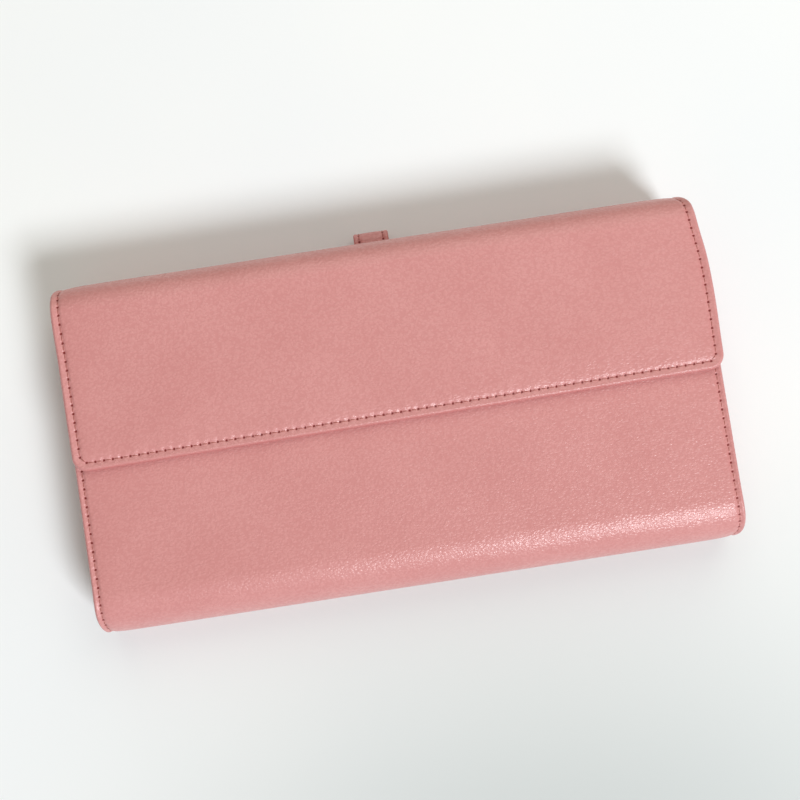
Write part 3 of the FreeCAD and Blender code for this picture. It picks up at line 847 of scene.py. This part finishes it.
front_sheet = Sheet(
    front_line, BODY_HALF, LEATHER, rim=FRONT_TOP - FRONT_INNER, rim_width=BODY_RIM,
    corners=(0, 3.0), closed=(False, True), relief=front_relief,
    under=lambda x, s: -dimple(x, front_line.at_length(s)[0], LEATHER),
    width=wrap_width,
)
rear_sheet = Sheet(
    rear_line, BODY_HALF, LEATHER, rim=REAR_INNER, rim_width=BODY_RIM, corners=(3.0, 0),
    closed=(True, False), relief=rear_relief,
    under=lambda x, s: -channel(x, rear_line.at_length(s)[0], LEATHER),
    width=lambda s, x: wrap_width(rear_line.length - s, x),
)
front_rows = [side_row(front_sheet, k, BODY_SEAM, 0.0, front_line.length - 3.5) for k in (-1, 1)]
rear_rows = [side_row(rear_sheet, k, BODY_SEAM, 3.5, rear_line.length) for k in (-1, 1)]
front_sheet.holes = np.concatenate(front_rows)
rear_sheet.holes = np.concatenate(rear_rows)

PAST_ROLL = 1.0
FRONT_BLEND = ("core", "front_wall", (0, BOTTOM * MM, (ROLL + PAST_ROLL) * MM),
               (0, (ROLL_Y - PAST_ROLL) * MM, FRONT_TOP * MM))
REAR_BLEND = ("rear_wall", "core", (0, (ROLL_Y - PAST_ROLL) * MM, 0),
              (0, BOTTOM * MM, (ROLL - PAST_ROLL) * MM))
front_piece = build_sheet(
    "front_outer", front_sheet,
    grid_lines(-BODY_HALF, BODY_HALF, 0.9, dense=((-8.1, 8.1),)),
    grid_lines(0, front_line.length, 0.45, rims=(False, True), dense=((0, 1),), fine=0.1),
    outer_leather,
)
rear_piece = build_sheet(
    "rear_outer", rear_sheet,
    grid_lines(-BODY_HALF, BODY_HALF, 1.2, dense=((-9.0, 9.0),), fine=0.3),
    grid_lines(0, rear_line.length, 0.6, rims=(True, False),
               dense=((rear_line.length - 1.0, rear_line.length),), fine=0.1),
    outer_leather,
)
front_stitches = build_stitches("front_stitches", front_sheet, front_rows, pink_thread)
rear_stitches = build_stitches("rear_stitches", rear_sheet, rear_rows, pink_thread)
for piece, body_blend in (
    (front_piece, FRONT_BLEND), (front_stitches, FRONT_BLEND),
    (rear_piece, REAR_BLEND), (rear_stitches, REAR_BLEND),
):
    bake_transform(piece)
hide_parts("front_leather")
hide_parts("rear_leather")


# ------------------------------------------------------------------ linings


def soft_relief(x, s, d, side):
    return wander(x, s, 11, 0.03) * smooth(d / 6) - 0.05 * bump(d, 2.0, 0.4)


def lining_sheet(line, half, corners=(0, 0), closed=(True, True), **options):
    """A lining, with its exposed face along the line."""
    return Sheet(line, half, LINING, corners=corners, closed=closed,
                 relief=options.pop("relief", soft_relief), **options)


def add_lining(name, sheet, step=2.2, **options):
    return build_sheet(
        name, sheet, grid_lines(-sheet.half, sheet.half, step, dense=options.pop("dense_x", ())),
        grid_lines(0, sheet.line.length, step, rims=sheet.closed,
                   dense=options.pop("dense_s", ())),
        lining_leather,
    )


INNER_BEND = BEND - LEATHER - BOARD - LINING
flap_lining_line = Line(TOP - BEND + INNER_BEND, (LOW_BEND_Z + HIGH_BEND_Z) / 2, 90)
flap_lining_line.go(HALF_STRIP).go(INNER_BEND * QUARTER, 90)
flap_lining_line.go(BEND_Y - FLAP_EDGE - LINING_INSET)
core_lining_line = Line(CORE_FOOT + 1.0, CORE_INNER, 0)
core_lining_line.go(BEND_Y - CORE_FOOT - 1.0).go(INNER_BEND * QUARTER, 90).go(HALF_STRIP)


def length_outside(from_middle):
    """The outer leather's length from the top roll's middle, over a place on the lining."""
    turned = np.clip((from_middle - HALF_STRIP) / INNER_BEND, 0, QUARTER)
    return from_middle + turned * (BEND - INNER_BEND)


def flap_lining_width(s, x):
    return flap_width(flap_line.length - length_outside(s), x) - LINING_INSET


def core_lining_width(s, x):
    over = back_width(length_outside(core_lining_line.length - s), x)
    return np.minimum(LINING_HALF, over - LINING_INSET)


flap_lining = add_lining(
    "flap_inner", lining_sheet(flap_lining_line, FLAP_HALF - LINING_INSET, (0, 2.8),
                               (False, True), width=flap_lining_width, warp=flap_skew),
    dense_s=((0.1, 12.0),),
)
core_lining = add_lining(
    "core_inner", lining_sheet(core_lining_line, LINING_HALF, (0, 0), (True, False),
                               width=core_lining_width),
    dense_s=((core_lining_line.length - 12.0, core_lining_line.length - 0.1),),
)
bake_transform(flap_lining)
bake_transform(core_lining)
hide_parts("flap_lining", "spine_lining")
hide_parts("core_lining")

INNER_ROLL = ROLL - LEATHER - BOARD - LINING
front_lining_line = Line(FRONT_EDGE - 1.0, FRONT_INNER, 180)
front_lining_line.go(FRONT_EDGE - 1.0 - ROLL_Y).go(INNER_ROLL * QUARTER, 90)
REAR_INNER_ROLL = ROLL - REAR_INNER
rear_lining_line = Line(
    ROLL_Y - REAR_INNER_ROLL * math.sin(QUARTER / 2),
    ROLL - REAR_INNER_ROLL * math.cos(QUARTER / 2), -45,
)
rear_lining_line.go(REAR_INNER_ROLL * QUARTER / 2, 45).go(REAR_MOUTH - 1.0 - ROLL_Y)


def front_lining_relief(x, s, d, side):
    return soft_relief(x, s, d, side) + dimple(x, front_lining_line.at_length(s)[0], REAR_INNER)


def rear_lining_relief(x, s, d, side):
    return soft_relief(x, s, d, side) + channel(x, rear_lining_line.at_length(s)[0], REAR_INNER)


front_lining = add_lining(
    "front_inner", lining_sheet(
        front_lining_line, LINING_HALF, (3.0, 0), (True, False), relief=front_lining_relief,
        under=lambda x, s: dimple(x, front_lining_line.at_length(s)[0], LEATHER)),
    dense_x=((-9.0, 9.0),), dense_s=((20.0, 40.0),),
)
rear_lining = add_lining(
    "rear_inner", lining_sheet(
        rear_lining_line, LINING_HALF, (0, 3.0), (False, True), relief=rear_lining_relief,
        under=lambda x, s: channel(x, rear_lining_line.at_length(s)[0], LEATHER)),
    dense_x=((-9.9, 9.9),), dense_s=((48.0, 60.0),),
)
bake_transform(front_lining)
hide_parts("front_lining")
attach(rear_lining, "rear_wall")
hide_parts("rear_lining")

divider_rear_line = Line(DIVIDER_EDGE, DIVIDER_LOW, 180).go(DIVIDER_EDGE - ROLL_Y)
divider_front_line = Line(ROLL_Y, DIVIDER_TOP, 0).go(DIVIDER_EDGE - ROLL_Y)
divider_rear = add_lining("divider_rear", Sheet(
    divider_rear_line, LINING_HALF, LINING, rim=DIVIDER_TOP - DIVIDER_LOW, rim_width=BODY_RIM,
    corners=(3.0, 0), relief=soft_relief))
divider_front = add_lining("divider_front", lining_sheet(
    divider_front_line, LINING_HALF - 1.0, (0, 2.0)))
DIVIDER_NODES = {"divider_lining_rear": divider_rear, "divider_lining_front": divider_front}
for node, piece in DIVIDER_NODES.items():
    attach(piece, "divider")
    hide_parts(node)


# ------------------------------------------------------------------ card slots


SLOT_SEAM = 1.8


def slot_relief(x, s, d, side):
    edge = 0.04 * bump(d, SLOT_SEAM / 2, 0.4) - 0.06 * bump(d, SLOT_SEAM, 0.4)
    return edge + wander(x, s, 15, 0.03) * smooth(d / 6)


for tier in (1, 2, 3):
    for side in ("left", "right"):
        node = f"card_slot_{tier}_{side}"
        a, b = low(node), high(node)
        half = (b[0] - a[0]) / 2
        middle = (a[0] + b[0]) / 2

        def shift(points, middle=middle):
            return points + np.array([middle, 0, 0])

        slot = Sheet(Line(a[1], b[2], 0).go(b[1] - a[1]), half, b[2] - a[2], corners=(0, 2.0),
                     relief=slot_relief, warp=shift)
        rows = [side_row(slot, k, SLOT_SEAM, 2.0, b[1] - a[1] - 1.0) for k in (-1, 1)]
        slot.holes = np.concatenate(rows)
        piece = build_sheet(f"{node}_panel", slot, grid_lines(-half, half, 2.2),
                            grid_lines(0, b[1] - a[1], 0.9), lining_leather)
        threads = build_stitches(f"{node}_stitches", slot, rows, pink_thread, radius=0.16)
        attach(piece, "core")
        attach(threads, "core")
        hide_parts(node)
        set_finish(piece, "slot_leather")
        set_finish(threads, "slot_leather")


# ------------------------------------------------------------------ snap strap


STRAP_LEATHER, STRAP_SEAM = 1.0, 1.7
loop_high = high("tab_root_leather")
loop = (loop_high[2] - low("tab_strap_leather")[2]) / 2
LOOP_Y = loop_high[1] - loop
LOOP_Z = loop_high[2] - loop
ROOT_Y = low("tab_root_leather")[1]
strap_line = Line(ROOT_Y, loop_high[2], 0)
strap_line.go(LOOP_Y - ROOT_Y).go(loop * 2 * QUARTER, -180).go(LOOP_Y - STRAP_END)
inside = loop - STRAP_LEATHER - LINING
strap_lining_line = Line(STRAP_END, LOOP_Z - inside, 0)
strap_lining_line.go(LOOP_Y - STRAP_END).go(inside * 2 * QUARTER, 180).go(LOOP_Y - ROOT_Y)


def strap_relief(x, s, d, side):
    lip = 0.10 * bump(d, 0.8, 0.5) - 0.18 * bump(d, STRAP_SEAM, 0.45)
    return lip + 0.05 * smooth((d - STRAP_SEAM) / 2)


strap = Sheet(strap_line, STRAP_HALF, STRAP_LEATHER, corners=(0, 4.5), relief=strap_relief)
strap_rows = [side_row(strap, k, STRAP_SEAM, 3.0, strap_line.length - 4.8) for k in (-1, 1)]
strap.holes = np.concatenate(strap_rows)
strap_back = Sheet(strap_lining_line, STRAP_HALF, LINING, corners=(4.5, 0))
strap_piece = build_sheet("strap_outer", strap, grid_lines(-STRAP_HALF, STRAP_HALF, 0.4),
                          grid_lines(0, strap_line.length, 0.4), outer_leather)
strap_lining = build_sheet("strap_inner", strap_back, grid_lines(-STRAP_HALF, STRAP_HALF, 0.5),
                           grid_lines(0, strap_lining_line.length, 0.5), lining_leather)
strap_stitches = build_stitches("strap_stitches", strap, strap_rows, pink_thread, radius=0.2)
for piece in (strap_piece, strap_lining, strap_stitches):
    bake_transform(piece)
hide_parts("tab_root_leather", "tab_strap_leather")
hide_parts("tab_root_lining", "tab_strap_lining")


# ------------------------------------------------------------------ gussets


def build_gusset(name, node, side):
    """A strip folded once between two walls: glued edges, a rounded fold, slightly wavy."""
    a, b = low(node), high(node)
    edge, fold = (b[0], a[0]) if side > 0 else (a[0], b[0])
    strip = edge - side * GLUED_STRIP
    glued, free = 7, 33
    bottom, top = a[2] + GUSSET_HALF, b[2] - GUSSET_HALF
    z = np.concatenate([
        [bottom] * glued, np.linspace(bottom, top, free)[1:-1], [top] * glued,
    ])
    middle, reach = (a[2] + b[2]) / 2, (b[2] - a[2]) / 2 - GUSSET_HALF
    across = 1 - np.abs(z - middle) / reach
    bow = np.sin(across * QUARTER) ** 1.15
    x = strip + (fold + side * GUSSET_HALF - strip) * bow
    x[:glued] = np.linspace(edge, strip, glued)
    x[-glued:] = np.linspace(strip, edge, glued)
    tangent = np.stack([np.gradient(x), np.gradient(z)], axis=1)
    tangent /= np.linalg.norm(tangent, axis=1, keepdims=True)
    normal = np.stack([-tangent[:, 1], tangent[:, 0]], axis=1)
    ring = np.concatenate([
        np.stack([x, z], axis=1) + GUSSET_HALF * normal,
        (np.stack([x, z], axis=1) - GUSSET_HALF * normal)[::-1],
    ])
    lengths = grid_lines(a[1], b[1], 1.6)
    points = []
    toward_fold = np.interp(ring[:, 1], [a[2], middle, b[2]], [0, 1, 0])
    for y in lengths:
        wave = 0.35 * math.sin(y / 7.0 + 2.0 * side) * toward_fold
        section = np.stack([ring[:, 0] + wave, np.full(len(ring), y), ring[:, 1]], axis=1)
        points.append(section)
    count = len(ring)
    points = np.concatenate(points)
    faces = []
    for k in range(len(lengths) - 1):
        for m in range(count):
            n = (m + 1) % count
            faces.append([k * count + m, k * count + n, (k + 1) * count + n, (k + 1) * count + m])
    half = count // 2
    for k, flip in ((0, True), (len(lengths) - 1, False)):
        for m in range(half - 1):
            face = [k * count + v for v in (m, m + 1, count - 2 - m, count - 1 - m)]
            faces.append(face if flip else face[::-1])
    obj = new_object(name, points, faces)
    mesh = obj.data
    add_sheet_uv(mesh, np.stack([points[:, 0] + points[:, 2], points[:, 1]], axis=1))
    mesh.materials.append(gusset_leather)
    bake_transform(obj)
    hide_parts(node)
    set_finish(obj, "gusset_leather")


for word, side in (("left", -1), ("right", 1)):
    build_gusset(f"coin_gusset_{word}_fold", f"coin_gusset_{word}", side)
    build_gusset(f"bill_gusset_rear_{word}_fold", f"bill_gusset_rear_{word}", side)
    build_gusset(f"bill_gusset_front_{word}_fold", f"bill_gusset_front_{word}", side)


# ------------------------------------------------------------------ kept CAD nodes


SLOT_OF_MATERIAL = {
    outer_leather: "outer_leather",
    pink_thread: "outer_leather",
    lining_leather: "lining_leather",
}
for obj in list(bpy.context.scene.objects):
    if obj.type == "MESH" and obj.data.materials and "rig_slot" not in obj:
        for material, slot_name in SLOT_OF_MATERIAL.items():
            if obj.data.materials[0] == material:
                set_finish(obj, slot_name)

for name, node in frame["nodes"].items():
    if node.hide_render:
        continue
    node.data.materials.clear()
    node.data.materials.append(pulp_board if "board" in name else snap_plating)


# ------------------------------------------------------------------ floor, light, camera


FLOOR_HALF = 2000
PAINTED_SHADOW_AT = (0.03, -0.20, 0.0)


def floor_material():
    """A pale table top, with a soft painted shadow in front of the wallet."""
    g = Graph("pale_floor")
    place = g.add("ShaderNodeTexCoord").outputs["Object"]
    soft = g.noise(place, 6.0, 2.0)
    colour = g.mix(g.ramp(soft, 0.3, 0.7), rgb(240, 242, 243), rgb(244, 245, 244))
    # painted shadow: the floor is darkened in a soft round spot in front of the wallet
    away = g.add("ShaderNodeVectorMath", {0: place, 1: PAINTED_SHADOW_AT}, operation="DISTANCE")
    painted_shadow = g.ramp(away.outputs["Value"], 0.02, 0.22, 1.0, 0.0)
    colour = g.mix(painted_shadow, colour, rgb(196, 201, 200))
    g.feed(g.shader.inputs["Base Color"], colour)
    g.shader.inputs["Roughness"].default_value = 0.7
    g.shader.inputs["Specular IOR Level"].default_value = 0.2
    return g.material


floor_corners = [(x * FLOOR_HALF, y * FLOOR_HALF, 0) for x, y in ((-1, -1), (1, -1), (1, 1), (-1, 1))]
floor = new_object("floor", floor_corners, [[0, 1, 2, 3]], False)
floor.data.materials.append(floor_material())

world = bpy.data.worlds.new("studio")
world.use_nodes = True
background = world.node_tree.nodes["Background"]
background.inputs["Color"].default_value = (1.0, 0.97, 0.90, 1.0)
background.inputs["Strength"].default_value = 0.28
bpy.context.scene.world = world


def area_light(name, toward, distance, size, power, colour):
    """A square soft light that looks at the wallet from a direction."""
    data = bpy.data.lights.new(name, "AREA")
    data.shape, data.size, data.energy, data.color = "SQUARE", size, power, colour
    obj = bpy.data.objects.new(name, data)
    direction = np.array(toward) / np.linalg.norm(toward)
    obj.matrix_world = (
        Matrix.Translation((direction * distance).tolist())
        @ Matrix.Rotation(math.atan2(direction[1], direction[0]) + QUARTER, 4, "Z")
        @ Matrix.Rotation(math.acos(direction[2]), 4, "X")
    )
    bpy.context.scene.collection.objects.link(obj)


area_light("key", toward=(0.46, -0.84, 0.99), distance=2.5, size=0.80, power=53.5,
           colour=(0.92, 0.96, 1.0))
area_light("fill", toward=(0.20, 0.80, 0.95), distance=1.0, size=0.9, power=3.8,
           colour=(1.0, 0.97, 0.88))

CAMERA_AT = (-0.0039, -0.01855, 0.3879)
TILT, LEAN, TURN = math.radians(3.0), math.radians(-0.77), math.radians(-8.76)
camera_data = bpy.data.cameras.new("camera")
camera_data.sensor_width = 36.0
camera_data.lens = 56.25
camera_data.clip_start, camera_data.clip_end = 0.01, 10.0
camera = bpy.data.objects.new("camera", camera_data)
camera.matrix_world = (
    Matrix.Translation(CAMERA_AT)
    @ Matrix.Rotation(LEAN, 4, "Y")
    @ Matrix.Rotation(TILT, 4, "X")
    @ Matrix.Rotation(TURN, 4, "Z")
)
bpy.context.scene.collection.objects.link(camera)
bpy.context.scene.camera = camera
bpy.context.scene.view_settings.view_transform = "Standard"
